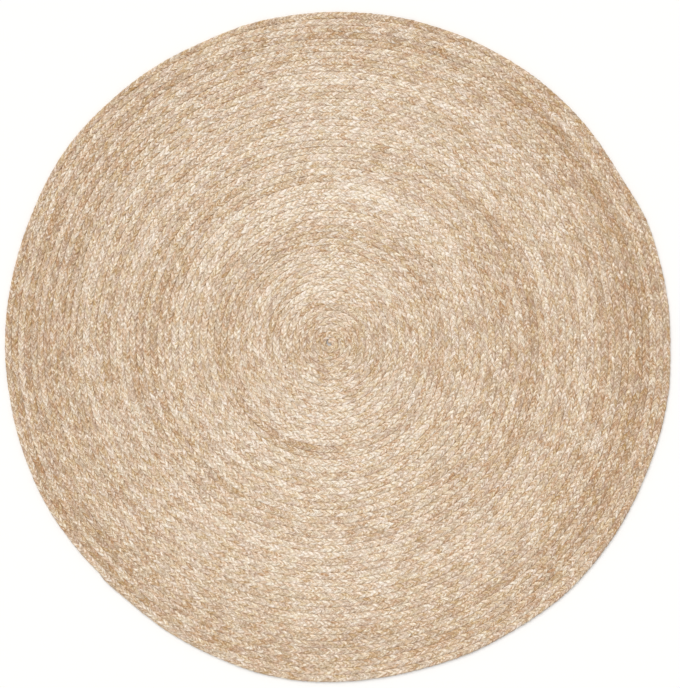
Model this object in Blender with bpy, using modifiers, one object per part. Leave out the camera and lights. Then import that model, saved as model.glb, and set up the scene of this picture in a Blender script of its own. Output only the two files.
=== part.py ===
"""Round rug of braided jute: one plait wound in a flat coil, each turn sewn to the last.

Metres, +Z up. The rug lies flat with its underside at z = 0 and the middle of its box at
x = y = 0. Seen from above, the coil winds outwards clockwise from its eye.
"""

import math

import bpy
from mathutils import Vector

RUG_NAME = "braided_jute_rug"
COIL_NODE = "braided_coil"

# Driving dimensions, in metres and degrees. Directions run anticlockwise from +X.
COIL_RADIUS = 0.7514
PLAIT_WIDTH = 0.0152
PLAIT_THICKNESS = 0.009
RIM_ROUND = 0.0038
TAIL_END_DEG = 226.0
TAIL_TAPER_DEG = 40.0

# How far the hand-sewn edge stands out from an even coil (or in from it, below zero).
EDGE_SWELLS = (
    # direction_deg, swell_mm
    (0.0, 8.0),
    (20.0, 7.0),
    (30.0, -2.0),
    (45.0, 1.0),
    (75.0, -2.0),
    (100.0, -6.5),
    (115.0, -11.0),
    (132.0, -9.0),
    (142.0, -6.5),
    (160.0, -11.5),
    (185.0, -9.0),
    (212.0, -4.5),
    (230.0, -7.0),
    (241.0, 0.5),
    (265.0, 7.0),
    (280.0, 4.5),
    (300.0, 9.0),
    (315.0, 16.0),
    (335.0, 12.0),
    (350.0, 11.5),
)

# Fineness of the faceted solid.
OUTLINE_POINTS = 240
RIM_SEGMENTS = 3
WELD_DISTANCE = 0.00005
RIM_ANGLE_DEG = 50.0

JUTE_COLOUR = (0.6725, 0.5149, 0.3663, 1.0)
JUTE_ROUGHNESS = 0.9
MILLIMETRE = 0.001


def ease(share):
    """Blend from 0 to 1 with level ends; shares outside that range are clamped."""
    held = min(max(share, 0.0), 1.0)
    return held * held * (3.0 - 2.0 * held)


def edge_swell(direction_deg):
    """Swell of the edge in metres, eased from each row of the table to the next, all round."""
    following = EDGE_SWELLS[1:] + EDGE_SWELLS[:1]
    for (start_deg, start_mm), (end_deg, end_mm) in zip(EDGE_SWELLS, following):
        span = (end_deg - start_deg) % 360.0
        along = (direction_deg - start_deg) % 360.0
        if along < span:
            return MILLIMETRE * (start_mm + (end_mm - start_mm) * ease(along / span))
    raise ValueError("no row of EDGE_SWELLS spans %s degrees" % direction_deg)


def edge_radius(direction_deg):
    """Distance from the coil's eye to its edge: one plait more each turn, less at the tail."""
    turned = ((TAIL_END_DEG - direction_deg) % 360.0) / 360.0
    left_to_tail_deg = 360.0 * (1.0 - turned)
    gained = PLAIT_WIDTH * (turned - 0.5)
    tapered_away = PLAIT_WIDTH * (1.0 - ease(left_to_tail_deg / TAIL_TAPER_DEG))
    return COIL_RADIUS + gained - tapered_away + edge_swell(direction_deg)


def outline_about_eye():
    """Edge points at even angles around the eye of the coil."""
    points = []
    for index in range(OUTLINE_POINTS):
        direction_deg = 360.0 * index / OUTLINE_POINTS
        direction = math.radians(direction_deg)
        radius = edge_radius(direction_deg)
        points.append(Vector((radius * math.cos(direction), radius * math.sin(direction))))
    return points


def centred(points):
    """The same points with the middle of their box at the origin."""
    middle_x = (min(p.x for p in points) + max(p.x for p in points)) / 2.0
    middle_y = (min(p.y for p in points) + max(p.y for p in points)) / 2.0
    middle = Vector((middle_x, middle_y))
    return [point - middle for point in points]


def remove_all_objects():
    for item in list(bpy.data.objects):
        bpy.data.objects.remove(item, do_unlink=True)


def make_collection():
    collection = bpy.data.collections.new(RUG_NAME)
    bpy.context.scene.collection.children.link(collection)
    return collection


def jute_material():
    """Undyed jute: pale straw brown and quite matt."""
    material = bpy.data.materials.new("jute")
    material.use_nodes = True
    shader = material.node_tree.nodes["Principled BSDF"]
    shader.inputs["Base Color"].default_value = JUTE_COLOUR
    shader.inputs["Roughness"].default_value = JUTE_ROUGHNESS
    shader.inputs["Metallic"].default_value = 0.0
    return material


def outline_curve():
    """Closed flat curve of the rug's edge, filled and as thick as the plait."""
    curve = bpy.data.curves.new(COIL_NODE, "CURVE")
    curve.dimensions = "2D"
    curve.fill_mode = "BOTH"
    curve.extrude = PLAIT_THICKNESS / 2.0
    spline = curve.splines.new("POLY")
    spline.points.add(OUTLINE_POINTS - 1)
    for spline_point, place in zip(spline.points, centred(outline_about_eye())):
        spline_point.co = (place.x, place.y, 0.0, 1.0)
    spline.use_cyclic_u = True
    return curve


def add_rim_round(coil):
    """Round the rim above and below, as the side of the outermost turn is."""
    weld = coil.modifiers.new("join caps", "WELD")
    weld.merge_threshold = WELD_DISTANCE
    rim = coil.modifiers.new("round rim", "BEVEL")
    rim.limit_method = "ANGLE"
    rim.angle_limit = math.radians(RIM_ANGLE_DEG)
    rim.width = RIM_ROUND
    rim.segments = RIM_SEGMENTS


def build_coil(collection):
    """The whole rug as one flat solid, resting on its underside."""
    curve = outline_curve()
    curve.materials.append(jute_material())
    coil = bpy.data.objects.new(COIL_NODE, curve)
    coil.location = (0.0, 0.0, PLAIT_THICKNESS / 2.0)
    collection.objects.link(coil)
    add_rim_round(coil)
    return coil


def main():
    remove_all_objects()
    build_coil(make_collection())


main()
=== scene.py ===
"""Round rug of braided jute: one three-strand plait wound in a flat coil, sewn edge to edge.

The plait is wound by Geometry Nodes along a spiral that fits the outline of the rug's solid.
Each bulge of a strand between two crossings is called a lobe here. Turns are counted along
the plait from the eye of the coil, and directions run anticlockwise from +X in degrees.
"""

import math

import bpy
import numpy as np
from bpy.props import FloatProperty, FloatVectorProperty, IntProperty, PointerProperty
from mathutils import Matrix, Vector


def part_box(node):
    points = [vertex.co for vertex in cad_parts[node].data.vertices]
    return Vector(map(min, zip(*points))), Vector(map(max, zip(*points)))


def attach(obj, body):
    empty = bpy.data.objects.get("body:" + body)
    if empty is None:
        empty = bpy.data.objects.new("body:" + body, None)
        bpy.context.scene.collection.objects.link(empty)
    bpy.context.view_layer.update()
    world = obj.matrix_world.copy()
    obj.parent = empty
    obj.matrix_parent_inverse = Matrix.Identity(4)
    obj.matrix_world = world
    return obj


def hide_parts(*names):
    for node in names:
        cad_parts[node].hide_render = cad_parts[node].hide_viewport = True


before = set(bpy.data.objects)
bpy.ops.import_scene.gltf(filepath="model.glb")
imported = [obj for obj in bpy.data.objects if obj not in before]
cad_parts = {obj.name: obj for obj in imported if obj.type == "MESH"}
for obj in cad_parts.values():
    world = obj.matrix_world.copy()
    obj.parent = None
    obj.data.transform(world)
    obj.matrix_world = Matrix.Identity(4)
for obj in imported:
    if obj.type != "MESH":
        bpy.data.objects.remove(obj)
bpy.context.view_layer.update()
COIL_NODE = "braided_coil"
BODY = "root"

bl_info = {
    "name": "Braided jute rug",
    "version": (1, 0, 0),
    "blender": (4, 5, 0),
    "location": "View3D > Sidebar > Jute Rug",
    "description": "Winds a round rug from one plait of jute and sets it on a pale floor",
    "category": "Add Mesh",
}

MILLIMETRE = 0.001

# Half of the plait's section, from the middle of its underside round to the middle of its
# face. A strand runs on along the plait as it comes round: reach is how far, in lobes.
PLAIT_SECTION = (
    # across, height, reach, give
    (0.00, -0.66, 0.75, 0.0),
    (0.40, -0.98, 0.55, 1.0),
    (0.78, -0.82, 0.33, 1.0),
    (1.00, 0.00, 0.00, 0.8),
    (0.95, 0.50, -0.15, 0.9),
    (0.77, 0.88, -0.33, 1.0),
    (0.44, 1.00, -0.53, 1.0),
    (0.00, 0.58, -0.75, 0.0),
)

# The jute isn't even. Broad rings of the coil are paler or darker than the common straw tone.
# Shade changes evenly from each row's turn to the next.
JUTE_RINGS = (
    # turn, shade_percent
    (0, -10),
    (3, 0),
    (12, 15),
    (15, 0),
    (16, -20),
    (18, 5),
    (22, 10),
    (26, -5),
    (34, 0),
    (37, 10),
    (40, -10),
    (43, -20),
    (48, -15),
)

# How much further out than an even coil a turn lies, because the plait is sewn tighter there.
TURN_DRIFTS = (
    # turn, outwards_mm
    (0, 0),
    (6, 0),
    (12, -3),
    (18, -6),
    (28, 3),
    (40, 3),
    (49, 0),
)


class PlaitSizes(bpy.types.PropertyGroup):
    """Sizes of the plait and of the coil it is wound in."""

    turns: IntProperty(
        name="Turns", description="Turns of plait from the eye to the edge", default=49, min=2
    )
    sections: IntProperty(
        name="Sections", description="Lengths that the plait is made in, end to end", default=5, min=1
    )
    plait_width: FloatProperty(
        name="Plait width", description="Width of the plait as sewn",
        default=0.0154, min=0.002, unit="LENGTH",
    )
    overlap: FloatProperty(
        name="Overlap", description="How far the strands of neighbouring turns press into each other",
        default=0.0015, min=0.0, unit="LENGTH",
    )
    lobe_length: FloatProperty(
        name="Lobe length", description="Distance along the plait from one lobe to the next",
        default=0.0152, min=0.002, unit="LENGTH",
    )
    crease: FloatProperty(
        name="Crease", description="Depth of the crease between lobes, as a share of half the thickness",
        default=0.42, min=0.0, max=0.9, subtype="FACTOR",
    )
    side_crease: FloatProperty(
        name="Side crease",
        description="Depth of the creases at the plait's sides, as a share of its half width",
        default=0.10, min=0.0, max=0.5, subtype="FACTOR",
    )
    zigzag: FloatProperty(
        name="Zigzag", description="Swing of the line where the lobes meet, as a share of the half width",
        default=0.17, min=0.0, max=0.5, subtype="FACTOR",
    )
    uneven: FloatProperty(
        name="Unevenness", description="How much the lobes differ in fullness",
        default=0.22, min=0.0, max=0.8, subtype="FACTOR",
    )
    roughening: FloatProperty(
        name="Roughening", description="How far the loose bundles of fibre stand out of the strands",
        default=0.0011, min=0.0, unit="LENGTH",
    )
    sway: FloatProperty(
        name="Sway", description="How far the hand-sewn turns wander sideways",
        default=0.0028, min=0.0, unit="LENGTH",
    )
    eye_x: FloatProperty(
        name="Eye X", description="Place of the coil's eye", default=-0.0155, unit="LENGTH"
    )
    eye_y: FloatProperty(
        name="Eye Y", description="Place of the coil's eye", default=0.0070, unit="LENGTH"
    )
    eye_tuck: FloatProperty(
        name="Eye tuck", description="How far the first turn is drawn over the eye",
        default=0.003, min=0.0, unit="LENGTH",
    )
    tail_direction: FloatProperty(
        name="Tail direction", description="Direction in which the plait's tail ends",
        default=math.radians(226.0), subtype="ANGLE",
    )
    tail_taper: FloatProperty(
        name="Tail taper", description="Stretch over which the tail gets thinner",
        default=math.radians(40.0), subtype="ANGLE",
    )


def linear_colour(hex_colour):
    """Linear RGBA of an sRGB colour written as six hex digits."""
    parts = []
    for start in (0, 2, 4):
        value = int(hex_colour[start:start + 2], 16) / 255.0
        parts.append(value / 12.92 if value <= 0.04045 else ((value + 0.055) / 1.055) ** 2.4)
    return (*parts, 1.0)


class JuteColours(bpy.types.PropertyGroup):
    """Colours of undyed jute, from its dark root ends to its bleached tips."""

    patchiness: FloatProperty(
        name="Patchiness", description="How strongly the spliced bundles differ in shade",
        default=0.56, min=0.0, max=1.0, subtype="FACTOR",
    )
    splice_turns: FloatProperty(
        name="Splice length", description="Turns of plait that one bundle lasts", default=0.2, min=0.02
    )
    splice_contrast: FloatProperty(
        name="Splice contrast", description="How much one bundle differs from the next",
        default=0.06, min=0.0, max=0.5, subtype="FACTOR",
    )
    # Painted sheen: how much paler strands along X are painted than strands along Y, in place of the light
    # their fibres catch.
    painted_sheen_of_lay: FloatProperty(
        name="Sheen of lay", description="How much paler strands look along X than along Y",
        default=0.06, min=0.0, max=0.5, subtype="FACTOR",
    )

    root_brown: FloatVectorProperty(
        name="Root brown", description="Darkest bundles", subtype="COLOR", size=4,
        min=0.0, max=1.0, default=linear_colour("AE8B68"),
    )
    tan: FloatVectorProperty(
        name="Tan", description="Bundles darker than most", subtype="COLOR", size=4,
        min=0.0, max=1.0, default=linear_colour("CEB294"),
    )
    straw: FloatVectorProperty(
        name="Straw", description="Commonest colour", subtype="COLOR", size=4,
        min=0.0, max=1.0, default=linear_colour("E4CEB3"),
    )
    cream: FloatVectorProperty(
        name="Cream", description="Palest bundles", subtype="COLOR", size=4,
        min=0.0, max=1.0, default=linear_colour("FCF1E2"),
    )
    bark: FloatVectorProperty(
        name="Bark", description="Flecks of bark left on the fibre", subtype="COLOR", size=4,
        min=0.0, max=1.0, default=linear_colour("7A5636"),
    )


class StageSettings(bpy.types.PropertyGroup):
    """Floor, light and camera."""

    floor_colour: FloatVectorProperty(
        name="Floor colour", description="Colour of the floor", subtype="COLOR", size=4,
        min=0.0, max=1.0, default=linear_colour("F6F5F3"),
    )
    floor_size: FloatProperty(
        name="Floor size", description="Side of the square floor", default=24.0, unit="LENGTH"
    )
    sky_strength: FloatProperty(
        name="Sky strength", description="Strength of the even light all round", default=0.58, min=0.0
    )
    lamp_strength: FloatProperty(
        name="Lamp strength", description="Strength of the soft lamp", default=1.9, min=0.0
    )
    lamp_spread: FloatProperty(
        name="Lamp spread", description="Angle that the lamp fills, seen from the rug",
        default=math.radians(50.0), subtype="ANGLE",
    )
    camera_height: FloatProperty(
        name="Camera height", description="Height of the camera over the floor", default=5.0,
        unit="LENGTH",
    )
    view_width: FloatProperty(
        name="View width", description="Width of floor that the camera sees", default=1.5331,
        unit="LENGTH",
    )


class RugSettings(bpy.types.PropertyGroup):
    """All that a user can change."""

    plait: PointerProperty(type=PlaitSizes)
    colours: PointerProperty(type=JuteColours)
    stage: PointerProperty(type=StageSettings)


def add_node(tree, kind, settings=None, inputs=None):
    """Add a node, set its properties, and link or set its inputs by name or number."""
    node = tree.nodes.new(kind)
    for name, value in (settings or {}).items():
        setattr(node, name, value)
    for key, value in (inputs or {}).items():
        socket = node.inputs[key]
        if isinstance(value, bpy.types.NodeSocket):
            tree.links.new(value, socket)
        else:
            socket.default_value = value
    return node


def ease(share):
    """Blend from 0 to 1 with level ends; shares outside that range are clamped."""
    held = np.clip(share, 0.0, 1.0)
    return held * held * (3.0 - 2.0 * held)


# ---------------------------------------------------------------- the route of the plait


def edge_distances(eye):
    """Directions (degrees) and distances from the eye to the edge of the rug's solid."""
    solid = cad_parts[COIL_NODE].data
    places = np.array([vertex.co for vertex in solid.vertices])
    low, high = (corner[2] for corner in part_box(COIL_NODE))
    share = (places[:, 2] - low) / (high - low)
    rim = places[(share > 0.02) & (share < 0.5)][:, :2] - np.array(eye)
    directions = np.degrees(np.arctan2(rim[:, 1], rim[:, 0])) % 360.0
    order = np.argsort(directions)
    return directions[order], np.hypot(rim[:, 0], rim[:, 1])[order]


def coil_distance(sizes, turns, directions_deg):
    """Distance from the eye to the plait's middle line, before the tail's taper."""
    eye = (sizes.eye_x, sizes.eye_y)
    edge_directions, edge_lengths = edge_distances(eye)
    edge = np.interp(directions_deg % 360.0, edge_directions, edge_lengths, period=360.0)
    turned = (math.degrees(sizes.tail_direction) - directions_deg) % 360.0 / 360.0
    tapered = ease(360.0 * (1.0 - turned) / math.degrees(sizes.tail_taper))
    full_edge = edge + sizes.plait_width * (1.0 - tapered)
    outer_turn = sizes.turns - 1.0 + turned
    spacing = (full_edge - sizes.plait_width / 2.0) / outer_turn
    even_spacing = (edge_lengths.mean() - sizes.plait_width / 2.0) / (sizes.turns - 0.5)
    nearness = np.clip(turns / outer_turn, 0.0, None) ** 1.5
    drift_turns, drifts_mm = np.array(TURN_DRIFTS).T
    distance = turns * (even_spacing + (spacing - even_spacing) * nearness)
    return distance + MILLIMETRE * np.interp(turns, drift_turns, drifts_mm)


def plait_route(sizes, turns):
    """Places of the plait's middle line at an array of turns, and its width there.

    The plait fills the space between its neighbours. It starts as a point at the eye and
    widens over the first turn, and its tail narrows against the turn inside it.
    """
    directions_deg = math.degrees(sizes.tail_direction) - 360.0 * turns
    outer_edge = coil_distance(sizes, turns + 0.5, directions_deg)
    inner_edge = np.maximum(coil_distance(sizes, turns - 0.5, directions_deg), 0.0)
    inner_edge = inner_edge - sizes.eye_tuck * (1.0 - ease(turns + 0.2))
    tail = ease((sizes.turns - turns) * 2.0 * math.pi / sizes.tail_taper)
    width = (outer_edge - inner_edge) * np.maximum(tail, 0.2)
    directions = np.radians(directions_deg)
    outwards = np.stack((np.cos(directions), np.sin(directions)), 1)
    places = np.array((sizes.eye_x, sizes.eye_y)) + (inner_edge + width / 2.0)[:, None] * outwards
    return places, width


def jute_tone_and_sheen(settings, turns):
    """Shade of the jute at each turn, 0 the darkest and 1 the palest.

    Each spliced bundle differs a little from its ring, by chance. A painted sheen adds a
    little too: strands that run along X are painted paler than those along Y, standing in for
    the light that their fibres catch.
    """
    colours = settings.colours
    ring_turns, percent = np.array(JUTE_RINGS).T
    splices = np.arange(0.0, settings.plait.turns + 1.0, colours.splice_turns)
    chance = np.random.default_rng(11).normal(0.0, colours.splice_contrast, len(splices))
    shade = 0.01 * colours.patchiness * np.interp(turns, ring_turns, percent)
    shade = shade + np.interp(turns, splices, chance * (0.5 + splices / settings.plait.turns))
    directions = settings.plait.tail_direction - 2.0 * math.pi * turns
    # Painted sheen: paler where the plait runs along X and darker where it runs along Y.
    return 0.5 + shade - settings.colours.painted_sheen_of_lay * np.cos(2.0 * directions)


class CoilRoute:
    """The whole route, measured along the plait, and the lobes that fit on it."""

    POINTS_PER_TURN = 288
    FIRST_TURN = -0.42
    LEAD_LOBES = 1.2

    def __init__(self, settings):
        sizes = settings.plait
        count = int((sizes.turns + 0.52) * self.POINTS_PER_TURN)
        self.turns = np.linspace(-0.5, sizes.turns + 0.02, count)
        self.places, self.widths = plait_route(sizes, self.turns)
        steps = np.hypot(*np.diff(self.places, axis=0).T)
        self.lengths = np.concatenate(((0.0,), np.cumsum(steps)))
        self.start = np.interp(self.FIRST_TURN, self.turns, self.lengths)
        self.end = np.interp(sizes.turns, self.turns, self.lengths)
        self.lobes = round((self.end - self.start) / sizes.lobe_length)
        self.lobe_length = (self.end - self.start) / self.lobes
        self.settings = settings

    def guide(self, name, first_lobe, last_lobe):
        """Mesh line along part of the route, with a lead at each end, and its make as a vector.

        The vector holds width, shade and thickness, the last as a share of the full one.
        """
        lead = self.LEAD_LOBES * self.lobe_length
        begin = self.start + first_lobe * self.lobe_length - lead
        finish = self.start + last_lobe * self.lobe_length + lead
        inner = self.lengths[(self.lengths > begin) & (self.lengths < finish)]
        along = np.concatenate(((begin,), inner, (finish,)))
        turns = np.interp(along, self.lengths, self.turns)
        places = np.stack([np.interp(along, self.lengths, axis) for axis in self.places.T], 1)
        points = np.column_stack((places, np.zeros(len(along))))
        mesh = bpy.data.meshes.new(name)
        links = [(index, index + 1) for index in range(len(points) - 1)]
        mesh.from_pydata(points.tolist(), links, [])
        widths = np.interp(along, self.lengths, self.widths)
        fullness = np.clip(0.35 + widths / self.settings.plait.plait_width, 0.0, 1.0)
        make = np.column_stack((widths, jute_tone_and_sheen(self.settings, turns), fullness))
        attribute = mesh.attributes.new("make", "FLOAT_VECTOR", "POINT")
        attribute.data.foreach_set("vector", make.ravel())
        guide = bpy.data.objects.new(name, mesh)
        bpy.context.collection.objects.link(guide)
        return guide


def plait_section():
    """Mesh line round the plait's section, open at the middle of the underside.

    Its places hold across, reach and height, and an attribute holds give.
    """
    half = [(across, reach, height, give) for across, height, reach, give in PLAIT_SECTION]
    other = [(-across, reach, height, give) for across, reach, height, give in half[-2::-1]]
    rows = half + other
    mesh = bpy.data.meshes.new("plait_section")
    links = [(index, index + 1) for index in range(len(rows) - 1)]
    mesh.from_pydata([row[:3] for row in rows], links, [])
    give = mesh.attributes.new("give", "FLOAT", "POINT")
    give.data.foreach_set("value", [row[3] for row in rows])
    section = bpy.data.objects.new("plait_section", mesh)
    bpy.context.collection.objects.link(section)
    return section


# ---------------------------------------------------------------- the plaiting tree

ROWS_PER_LOBE = 4
FULLEST_LOBE = 1.06
LATEST_LOBE = 0.08
BELOW_FLOOR_LIMIT = (-9.0, -9.0, 0.0)
MAP_STRIPS = 24
MAP_NAME = "OFBake"
LOBE_ATTRIBUTE = "lobe"
ACROSS_ATTRIBUTE = "across"
SHADE_ATTRIBUTE = "shade"


def plaiting_tree():
    """Geometry Nodes tree that plaits three strands along a guide line.

    A grid has a row for each quarter of a lobe and a column for each point of the section.
    Its rows follow the strands: they slant outwards from the middle of the face, come round
    the side and slant back under. The two columns of lobes are half a lobe apart.
    """
    tree = bpy.data.node_groups.new("plait along a guide", "GeometryNodeTree")
    made = tree.interface.new_socket
    made(name="Guide", in_out="INPUT", socket_type="NodeSocketGeometry")
    made(name="Section", in_out="INPUT", socket_type="NodeSocketObject")
    made(name="Section points", in_out="INPUT", socket_type="NodeSocketInt")
    made(name="Lobes", in_out="INPUT", socket_type="NodeSocketInt")
    made(name="First lobe", in_out="INPUT", socket_type="NodeSocketInt")
    made(name="Lobe length", in_out="INPUT", socket_type="NodeSocketFloat")
    made(name="Lead", in_out="INPUT", socket_type="NodeSocketFloat")
    made(name="Overlap", in_out="INPUT", socket_type="NodeSocketFloat")
    made(name="Thickness", in_out="INPUT", socket_type="NodeSocketFloat")
    made(name="Crease", in_out="INPUT", socket_type="NodeSocketFloat")
    made(name="Side crease", in_out="INPUT", socket_type="NodeSocketFloat")
    made(name="Zigzag", in_out="INPUT", socket_type="NodeSocketFloat")
    made(name="Unevenness", in_out="INPUT", socket_type="NodeSocketFloat")
    made(name="Sway", in_out="INPUT", socket_type="NodeSocketFloat")
    made(name="Roughening", in_out="INPUT", socket_type="NodeSocketFloat")
    made(name="Seed", in_out="INPUT", socket_type="NodeSocketInt")
    made(name="Material", in_out="INPUT", socket_type="NodeSocketMaterial")
    made(name="Plait", in_out="OUTPUT", socket_type="NodeSocketGeometry")

    def add(kind, settings=None, inputs=None):
        return add_node(tree, kind, settings, inputs)

    def math_of(operation, *values):
        inputs = dict(enumerate(values))
        return add("ShaderNodeMath", {"operation": operation}, inputs).outputs[0]

    def whole_of(operation, *values):
        inputs = dict(enumerate(values))
        return add("FunctionNodeIntegerMath", {"operation": operation}, inputs).outputs[0]

    given = add("NodeGroupInput").outputs

    # Rows and columns. The first and last rows close the ends: each is drawn to one point.
    inner_rows = whole_of("MULTIPLY_ADD", given["Lobes"], ROWS_PER_LOBE, 1)
    rows = whole_of("ADD", inner_rows, 2)
    grid = add("GeometryNodeMeshGrid", None, {"Vertices X": rows, "Vertices Y": given["Section points"]})
    index = add("GeometryNodeInputIndex").outputs[0]
    row = whole_of("SUBTRACT", whole_of("DIVIDE_FLOOR", index, given["Section points"]), 1)
    column = whole_of("MODULO", index, given["Section points"])
    last_inner = whole_of("SUBTRACT", inner_rows, 1)
    inner_row = whole_of("MAXIMUM", whole_of("MINIMUM", row, last_inner), 0)
    is_end = whole_of("ABSOLUTE", whole_of("SUBTRACT", row, inner_row))
    openness = math_of("SUBTRACT", 1.0, is_end)

    # The section: across, reach and height in one vector, and give.
    section = add(
        "GeometryNodeObjectInfo", {"transform_space": "ORIGINAL"}, {"Object": given["Section"]}
    ).outputs["Geometry"]
    place = add("GeometryNodeInputPosition").outputs[0]
    section_place = add(
        "GeometryNodeSampleIndex", {"data_type": "FLOAT_VECTOR", "domain": "POINT"},
        {"Geometry": section, "Value": place, "Index": column},
    ).outputs["Value"]
    give_field = add("GeometryNodeInputNamedAttribute", {"data_type": "FLOAT"}, {"Name": "give"})
    give = add(
        "GeometryNodeSampleIndex", {"data_type": "FLOAT", "domain": "POINT"},
        {"Geometry": section, "Value": give_field.outputs["Attribute"], "Index": column},
    ).outputs["Value"]
    across, reach, height = add("ShaderNodeSeparateXYZ", None, {0: section_place}).outputs
    side = math_of("SIGN", across)
    is_middle = math_of("SUBTRACT", 1.0, math_of("ABSOLUTE", side))

    # Lobes: full at half a lobe, creased where the count is whole, and half a lobe on at left.
    phase = math_of("DIVIDE", inner_row, float(ROWS_PER_LOBE))
    left_shift = math_of("MULTIPLY_ADD", side, -0.25, 0.25)
    lobe_phase = math_of("ADD", phase, left_shift)
    swing = math_of("COSINE", math_of("MULTIPLY", lobe_phase, math.pi))
    fullness = math_of("SUBTRACT", 1.0, math_of("POWER", math_of("ABSOLUTE", swing), 4.0))
    lobe_number = math_of("ADD", math_of("FLOOR", lobe_phase), given["First lobe"])
    lobe_identity = math_of("MULTIPLY_ADD", lobe_number, 2.0, math_of("GREATER_THAN", side, 0.0))
    smallest = math_of("SUBTRACT", 1.0, given["Unevenness"])

    def lobe_chance(least, most, seed):
        node = add(
            "FunctionNodeRandomValue", {"data_type": "FLOAT"},
            {"Min": least, "Max": most, "ID": lobe_identity, "Seed": seed},
        )
        return [socket for socket in node.outputs if socket.type == "VALUE"][0]

    plumpness = lobe_chance(smallest, FULLEST_LOBE, given["Seed"])
    pull = math_of(
        "MULTIPLY", give, math_of("SUBTRACT", 1.0, math_of("MULTIPLY", fullness, plumpness))
    )
    crease = math_of("MULTIPLY", pull, given["Crease"])
    side_crease = math_of("MULTIPLY", pull, given["Side crease"])
    raised = math_of("MULTIPLY", height, math_of("SUBTRACT", 1.0, crease))
    spread = math_of("MULTIPLY", across, math_of("SUBTRACT", 1.0, side_crease))
    turn_of_lobe = math_of("MULTIPLY", phase, 2.0 * math.pi)
    zigzag = math_of("MULTIPLY", math_of("COSINE", turn_of_lobe), given["Zigzag"])
    spread = math_of("MULTIPLY_ADD", zigzag, is_middle, spread)

    # Place along the guide, where rows beside a crease are drawn towards it.
    drawn = math_of("MULTIPLY", math_of("MULTIPLY", math_of("SINE", turn_of_lobe), side), -0.04)
    late = lobe_chance(-LATEST_LOBE, LATEST_LOBE, 3)
    drawn = math_of("MULTIPLY_ADD", late, openness, drawn)
    reached = math_of("MULTIPLY_ADD", reach, openness, math_of("ADD", phase, drawn))
    length = math_of("MULTIPLY_ADD", reached, given["Lobe length"], given["Lead"])
    line = add("GeometryNodeMeshToCurve", None, {"Mesh": given["Guide"]}).outputs[0]
    make_field = add("GeometryNodeInputNamedAttribute", {"data_type": "FLOAT_VECTOR"}, {"Name": "make"})
    sample = add(
        "GeometryNodeSampleCurve", {"mode": "LENGTH", "data_type": "FLOAT_VECTOR"},
        {"Curves": line, "Value": make_field.outputs["Attribute"], "Length": length},
    )
    width, shade, fullness_here = add("ShaderNodeSeparateXYZ", None, {0: sample.outputs["Value"]}).outputs
    width = math_of("MULTIPLY", math_of("ADD", width, given["Overlap"]), openness)
    girth = math_of("MULTIPLY", fullness_here, openness)

    # Place across the guide, with the slow wander of hand sewing.
    up = (0.0, 0.0, 1.0)
    outwards = add(
        "ShaderNodeVectorMath", {"operation": "CROSS_PRODUCT"}, {0: up, 1: sample.outputs["Tangent"]}
    ).outputs[0]
    half_width = math_of("MULTIPLY", math_of("MULTIPLY", spread, width), 0.5)
    half_thickness = math_of("MULTIPLY", given["Thickness"], 0.5)
    lift = math_of("MULTIPLY_ADD", math_of("MULTIPLY", raised, girth), half_thickness, half_thickness)
    sideways = add(
        "ShaderNodeVectorMath", {"operation": "SCALE"}, {0: outwards, "Scale": half_width}
    ).outputs[0]
    wander = add(
        "ShaderNodeTexNoise", {"noise_dimensions": "3D"},
        {"Vector": sample.outputs["Position"], "Scale": 9.0, "Detail": 1.0},
    ).outputs["Color"]
    wander = add(
        "ShaderNodeVectorMath", {"operation": "SUBTRACT"}, {0: wander, 1: (0.5, 0.5, 0.5)}
    ).outputs[0]
    wander = add(
        "ShaderNodeVectorMath", {"operation": "MULTIPLY"}, {0: wander, 1: (1.0, 1.0, 0.0)}
    ).outputs[0]
    wander = add(
        "ShaderNodeVectorMath", {"operation": "SCALE"}, {0: wander, "Scale": given["Sway"]}
    ).outputs[0]
    upwards = add("ShaderNodeCombineXYZ", None, {"Z": lift}).outputs[0]
    seam_column = whole_of("MODULO", column, whole_of("SUBTRACT", given["Section points"], 1))
    bundle = whole_of("MULTIPLY_ADD", inner_row, given["Section points"], seam_column)
    stray = add(
        "FunctionNodeRandomValue", {"data_type": "FLOAT_VECTOR"},
        {"Min": (-0.5, -0.5, -0.5), "Max": (0.5, 0.5, 0.5), "ID": bundle, "Seed": given["Seed"]},
    ).outputs["Value"]
    stray = add(
        "ShaderNodeVectorMath", {"operation": "SCALE"},
        {0: stray, "Scale": math_of("MULTIPLY", given["Roughening"], openness)},
    ).outputs[0]
    new_place = sample.outputs["Position"]
    for part in (sideways, upwards, wander, stray):
        new_place = add("ShaderNodeVectorMath", {"operation": "ADD"}, {0: new_place, 1: part}).outputs[0]
    new_place = add(
        "ShaderNodeVectorMath", {"operation": "MAXIMUM"}, {0: new_place, 1: BELOW_FLOOR_LIMIT}
    ).outputs[0]
    shaped = add("GeometryNodeSetPosition", None, {"Geometry": grid.outputs["Mesh"], "Position": new_place})

    # What the finish reads: the lobe count, the place across the plait and the shade.
    body = shaped.outputs[0]
    counted = math_of("ADD", phase, given["First lobe"])
    for name, value in (
        (LOBE_ATTRIBUTE, counted), (ACROSS_ATTRIBUTE, across), (SHADE_ATTRIBUTE, shade),
        ("row", inner_row), ("column", column),
    ):
        body = add(
            "GeometryNodeStoreNamedAttribute", {"data_type": "FLOAT", "domain": "POINT"},
            {"Geometry": body, "Name": name, "Value": value},
        ).outputs[0]

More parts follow.
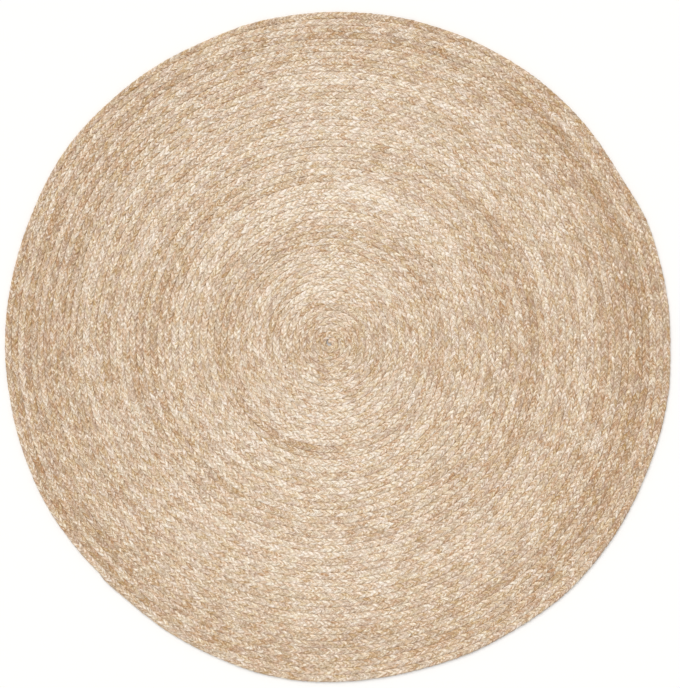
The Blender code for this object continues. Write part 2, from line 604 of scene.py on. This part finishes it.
    # A map of level strips, one above the other, each a stretch of the plait unrolled.
    row_field, column_field = (
        add("GeometryNodeInputNamedAttribute", {"data_type": "FLOAT"}, {"Name": name}).outputs[0]
        for name in ("row", "column")
    )
    face_row = add(
        "GeometryNodeFieldOnDomain", {"data_type": "FLOAT", "domain": "FACE"}, {0: row_field}
    ).outputs[0]
    strip_rows = math_of("CEIL", math_of("DIVIDE", rows, float(MAP_STRIPS)))
    strip = math_of("FLOOR", math_of("DIVIDE", face_row, strip_rows))
    along = math_of("DIVIDE", row_field, strip_rows)
    map_u = math_of("SUBTRACT", along, strip)
    columns = math_of("SUBTRACT", given["Section points"], 1.0)
    around = math_of("DIVIDE", column_field, columns)
    within_strip = math_of("MULTIPLY_ADD", around, 0.94, 0.03)
    map_v = math_of("DIVIDE", math_of("ADD", strip, within_strip), float(MAP_STRIPS))
    map_place = add("ShaderNodeCombineXYZ", None, {"X": map_u, "Y": map_v}).outputs[0]
    body = add(
        "GeometryNodeStoreNamedAttribute", {"data_type": "FLOAT2", "domain": "CORNER"},
        {"Geometry": body, "Name": MAP_NAME, "Value": map_place},
    ).outputs[0]
    for name in ("row", "column"):
        body = add("GeometryNodeRemoveAttribute", None, {"Geometry": body, "Name": name}).outputs[0]

    # Close the seam under the plait and the ends, and give the result its finish.
    body = add("GeometryNodeMergeByDistance", None, {"Geometry": body, "Distance": 0.000001}).outputs[0]
    body = add("GeometryNodeSetShadeSmooth", None, {"Geometry": body, "Shade Smooth": True}).outputs[0]
    body = add("GeometryNodeSetMaterial", None, {"Geometry": body, "Material": given["Material"]}).outputs[0]
    body = add("GeometryNodeRealizeInstances", None, {"Geometry": body}).outputs[0]
    add("NodeGroupOutput", None, {0: body})
    return tree


def set_tree_inputs(modifier, values):
    """Set a modifier's inputs by the names that its tree gives them."""
    for item in modifier.node_group.interface.items_tree:
        if item.item_type == "SOCKET" and item.in_out == "INPUT" and item.name in values:
            modifier[item.identifier] = values[item.name]


def plain_mesh_piece(source, name):
    """New object at the origin with the evaluated mesh of the source, which is removed."""
    evaluated = source.evaluated_get(bpy.context.evaluated_depsgraph_get())
    mesh = bpy.data.meshes.new_from_object(evaluated)
    mesh.name = name
    piece = bpy.data.objects.new(name, mesh)
    bpy.context.collection.objects.link(piece)
    bpy.data.objects.remove(source, do_unlink=True)
    return piece


# ---------------------------------------------------------------- finishes


def braided_jute(colours):
    """Undyed jute, retted and plaited dry: matt, with the faint silk of bast fibre.

    Each lobe has its own tone, fibres run along the strands, creases get painted shade,
    and dark flecks of bark stay on the fibre.
    """
    material = bpy.data.materials.new("braided jute")
    material.use_nodes = True
    tree = material.node_tree
    shader = tree.nodes["Principled BSDF"]

    def add(kind, settings=None, inputs=None):
        return add_node(tree, kind, settings, inputs)

    def math_of(operation, *values):
        inputs = dict(enumerate(values))
        return add("ShaderNodeMath", {"operation": operation}, inputs).outputs[0]

    lobe = add("ShaderNodeAttribute", {"attribute_name": LOBE_ATTRIBUTE}).outputs["Fac"]
    across = add("ShaderNodeAttribute", {"attribute_name": ACROSS_ATTRIBUTE}).outputs["Fac"]
    shade = add("ShaderNodeAttribute", {"attribute_name": SHADE_ATTRIBUTE}).outputs["Fac"]
    is_left = math_of("LESS_THAN", across, 0.0)
    place = math_of("MULTIPLY_ADD", is_left, 0.5, lobe)
    number = math_of("FLOOR", place)
    within = math_of("SUBTRACT", math_of("SUBTRACT", place, number), 0.5)
    outwards = math_of("ABSOLUTE", across)

    # Tone of each lobe, and of each of the three strands over a longer stretch.
    identity = add("ShaderNodeCombineXYZ", None, {"X": number, "Y": is_left}).outputs[0]
    dice = add("ShaderNodeTexWhiteNoise", {"noise_dimensions": "3D"}, {"Vector": identity})
    strand = math_of("MODULO", math_of("ADD", number, is_left), 3.0)
    strand_place = add(
        "ShaderNodeCombineXYZ", None,
        {"X": math_of("MULTIPLY", number, 0.11), "Y": math_of("MULTIPLY", strand, 9.7)},
    ).outputs[0]
    strand_noise = add(
        "ShaderNodeTexNoise", {"noise_dimensions": "2D"},
        {"Vector": strand_place, "Scale": 1.0, "Detail": 2.0},
    ).outputs

    # Bundles of fibre about 2 mm wide, and single fibres, both running along the strand.
    def streaks(across_count, along_count, seed):
        streak_place = add(
            "ShaderNodeCombineXYZ", None,
            {
                "X": math_of("MULTIPLY", place, across_count),
                "Y": math_of("MULTIPLY", outwards, along_count),
                "Z": math_of("MULTIPLY_ADD", number, 3.7, seed),
            },
        ).outputs[0]
        return add(
            "ShaderNodeTexNoise", {"noise_dimensions": "3D"},
            {"Vector": streak_place, "Scale": 1.0, "Detail": 2.0, "Roughness": 0.6},
        ).outputs["Fac"]

    bundles = streaks(3.4, 2.6, 0.0)
    fibres = streaks(14.0, 1.5, 50.0)
    tone = shade
    for source, amount in (
        (dice.outputs["Value"], 0.36), (strand_noise["Fac"], 0.35), (bundles, 2.6), (fibres, 1.6),
    ):
        tone = math_of("MULTIPLY_ADD", math_of("SUBTRACT", source, 0.5), amount, tone)
    ramp = add("ShaderNodeValToRGB", None, {"Fac": tone})
    stops = ramp.color_ramp.elements
    stops[0].position = 0.0
    stops[0].color = colours.root_brown
    stops[1].position = 1.0
    stops[1].color = colours.cream
    for position, colour in ((0.30, colours.tan), (0.62, colours.straw)):
        stop = stops.new(position)
        stop.color = colour
    _, green, blue = add("ShaderNodeSeparateXYZ", None, {0: dice.outputs["Color"]}).outputs
    tinted = add(
        "ShaderNodeHueSaturation", None,
        {
            "Hue": math_of("MULTIPLY_ADD", math_of("SUBTRACT", green, 0.5), 0.016, 0.5),
            "Saturation": math_of("MULTIPLY_ADD", blue, 0.3, 0.85),
            "Color": ramp.outputs["Color"],
        },
    ).outputs[0]

    # Painted shade: the colour is darkened in the creases between lobes, along the middle and between turns,
    # where shade falls.
    def ramped(value, start, end, amount):
        limits = {"Value": value, "From Min": start, "From Max": end, "To Min": 0.0, "To Max": amount}
        return add("ShaderNodeMapRange", {"interpolation_type": "SMOOTHSTEP"}, limits).outputs[0]

    from_crest = math_of("ABSOLUTE", within)
    crease = ramped(from_crest, 0.26, 0.50, 1.0)
    middle = ramped(outwards, 0.22, 0.0, 0.35)
    groove = ramped(outwards, 0.75, 1.0, 0.30)
    # The painted shade is made patchy by the fibre bundles.
    uneven = math_of("MULTIPLY_ADD", bundles, 2.4, -0.7)
    painted_crease_shade = math_of("MAXIMUM", math_of("MULTIPLY", crease, 0.7), math_of("MAXIMUM", middle, groove))
    painted_crease_shade = math_of("MULTIPLY", painted_crease_shade, uneven)
    # Painted shade: the colour is multiplied towards a dark brown in the creases and grooves.
    dark = add(
        "ShaderNodeMix", {"data_type": "RGBA", "blend_type": "MULTIPLY"},
        {"Factor": painted_crease_shade, 6: tinted, 7: (0.50, 0.42, 0.34, 1.0)},
    ).outputs[2]

    # Flecks of bark, a few millimetres long.
    often = math_of("MULTIPLY_ADD", math_of("SUBTRACT", 0.5, shade), 0.12, streaks(4.0, 1.2, 90.0))
    fleck = ramped(often, 0.66, 0.74, 0.7)
    coloured = add(
        "ShaderNodeMix", {"data_type": "RGBA", "blend_type": "MIX"},
        {"Factor": fleck, 6: dark, 7: colours.bark},
    ).outputs[2]
    tree.links.new(coloured, shader.inputs["Base Color"])

    # Relief of the fibres and of the lobes' round backs.
    height = math_of("MULTIPLY_ADD", crease, -0.5, math_of("ADD", fibres, bundles))
    bump = add("ShaderNodeBump", None, {"Strength": 0.8, "Distance": 0.0009, "Height": height})
    tree.links.new(bump.outputs["Normal"], shader.inputs["Normal"])
    shader.inputs["Roughness"].default_value = 0.82
    shader.inputs["Specular IOR Level"].default_value = 0.35
    shader.inputs["Sheen Weight"].default_value = 0.12
    shader.inputs["Sheen Roughness"].default_value = 0.5
    return material


def painted_floor(colour):
    """Smooth matt paint: plain and pale, so that the rug alone has texture."""
    material = bpy.data.materials.new("matt floor paint")
    material.use_nodes = True
    tree = material.node_tree
    shader = tree.nodes["Principled BSDF"]
    shader.inputs["Base Color"].default_value = colour
    shader.inputs["Roughness"].default_value = 0.9
    shader.inputs["Specular IOR Level"].default_value = 0.1
    return material


# ---------------------------------------------------------------- operators


class RUG_OT_wind_coil(bpy.types.Operator):
    """Plait the jute and wind it into the rug's coil, in a few lengths end to end"""

    bl_idname = "jute_rug.wind_coil"
    bl_label = "Wind the coil"

    def execute(self, context):
        settings = context.scene.jute_rug
        sizes = settings.plait
        route = CoilRoute(settings)
        section = plait_section()
        section_points = len(section.data.vertices)
        tree = plaiting_tree()
        jute = braided_jute(settings.colours)
        low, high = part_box(COIL_NODE)
        bounds = [round(route.lobes * part / sizes.sections) for part in range(sizes.sections + 1)]
        for number, (first, last) in enumerate(zip(bounds, bounds[1:]), start=1):
            name = "coil_length_%d" % number
            guide = route.guide(name + "_guide", first, last)
            modifier = guide.modifiers.new("plait", "NODES")
            modifier.node_group = tree
            set_tree_inputs(modifier, {
                "Section": section,
                "Section points": section_points,
                "Lobes": last - first,
                "First lobe": first,
                "Lobe length": route.lobe_length,
                "Lead": route.LEAD_LOBES * route.lobe_length,
                "Overlap": sizes.overlap,
                "Thickness": high[2] - low[2],
                "Crease": sizes.crease,
                "Side crease": sizes.side_crease,
                "Zigzag": sizes.zigzag,
                "Unevenness": sizes.uneven,
                "Sway": sizes.sway,
                "Roughening": sizes.roughening,
                "Seed": 7,
                "Material": jute,
            })
            piece = plain_mesh_piece(guide, name)
            if not piece.data.polygons:
                raise RuntimeError("the plaiting tree made no faces for " + name)
            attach(piece, BODY)
            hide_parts(COIL_NODE)
        bpy.data.objects.remove(section, do_unlink=True)
        return {"FINISHED"}


class RUG_OT_set_stage(bpy.types.Operator):
    """Lay the floor and set the soft lamp, the even light and the camera"""

    bl_idname = "jute_rug.set_stage"
    bl_label = "Set the stage"

    def execute(self, context):
        stage = context.scene.jute_rug.stage
        low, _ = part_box(COIL_NODE)
        bpy.ops.mesh.primitive_plane_add(size=stage.floor_size, location=(0.0, 0.0, low[2]))
        floor = context.active_object
        floor.name = "floor"
        floor.data.materials.append(painted_floor(stage.floor_colour))

        world = bpy.data.worlds.new("even studio light")
        world.use_nodes = True
        background = world.node_tree.nodes["Background"]
        background.inputs["Color"].default_value = (1.0, 1.0, 1.0, 1.0)
        background.inputs["Strength"].default_value = stage.sky_strength
        context.scene.world = world

        lamp_data = bpy.data.lights.new("soft lamp", "SUN")
        lamp_data.angle = stage.lamp_spread
        lamp_data.energy = stage.lamp_strength
        lamp = bpy.data.objects.new("soft lamp", lamp_data)
        lamp.location = (-0.8, 1.5, 3.0)
        lamp.rotation_euler = (-Vector(lamp.location)).to_track_quat("-Z", "Y").to_euler()
        context.collection.objects.link(lamp)

        camera_data = bpy.data.cameras.new("camera")
        camera_data.sensor_fit = "HORIZONTAL"
        camera_data.lens = camera_data.sensor_width * stage.camera_height / stage.view_width
        camera = bpy.data.objects.new("camera", camera_data)
        camera.location = (0.0053, 0.0065, stage.camera_height)
        context.collection.objects.link(camera)
        context.scene.camera = camera
        context.scene.view_settings.view_transform = "Standard"
        return {"FINISHED"}


class RUG_PT_panel(bpy.types.Panel):
    """Sizes, colours and steps of the rug"""

    bl_idname = "RUG_PT_panel"
    bl_label = "Jute Rug"
    bl_space_type = "VIEW_3D"
    bl_region_type = "UI"
    bl_category = "Jute Rug"

    def draw(self, context):
        settings = context.scene.jute_rug
        for operator in OPERATORS:
            self.layout.operator(operator.bl_idname)
        for title, group in (
            ("Plait", settings.plait), ("Colours", settings.colours), ("Stage", settings.stage)
        ):
            box = self.layout.box()
            box.label(text=title)
            for name in group.__annotations__:
                box.prop(group, name)


GROUPS = (PlaitSizes, JuteColours, StageSettings, RugSettings)
OPERATORS = (RUG_OT_wind_coil, RUG_OT_set_stage)


def register():
    for item in (*GROUPS, *OPERATORS, RUG_PT_panel):
        bpy.utils.register_class(item)
    bpy.types.Scene.jute_rug = PointerProperty(type=RugSettings)


def unregister():
    del bpy.types.Scene.jute_rug
    for item in reversed((*GROUPS, *OPERATORS, RUG_PT_panel)):
        bpy.utils.unregister_class(item)


def main():
    register()
    bpy.ops.jute_rug.wind_coil()
    bpy.ops.jute_rug.set_stage()


if __name__ == "__main__":
    main()
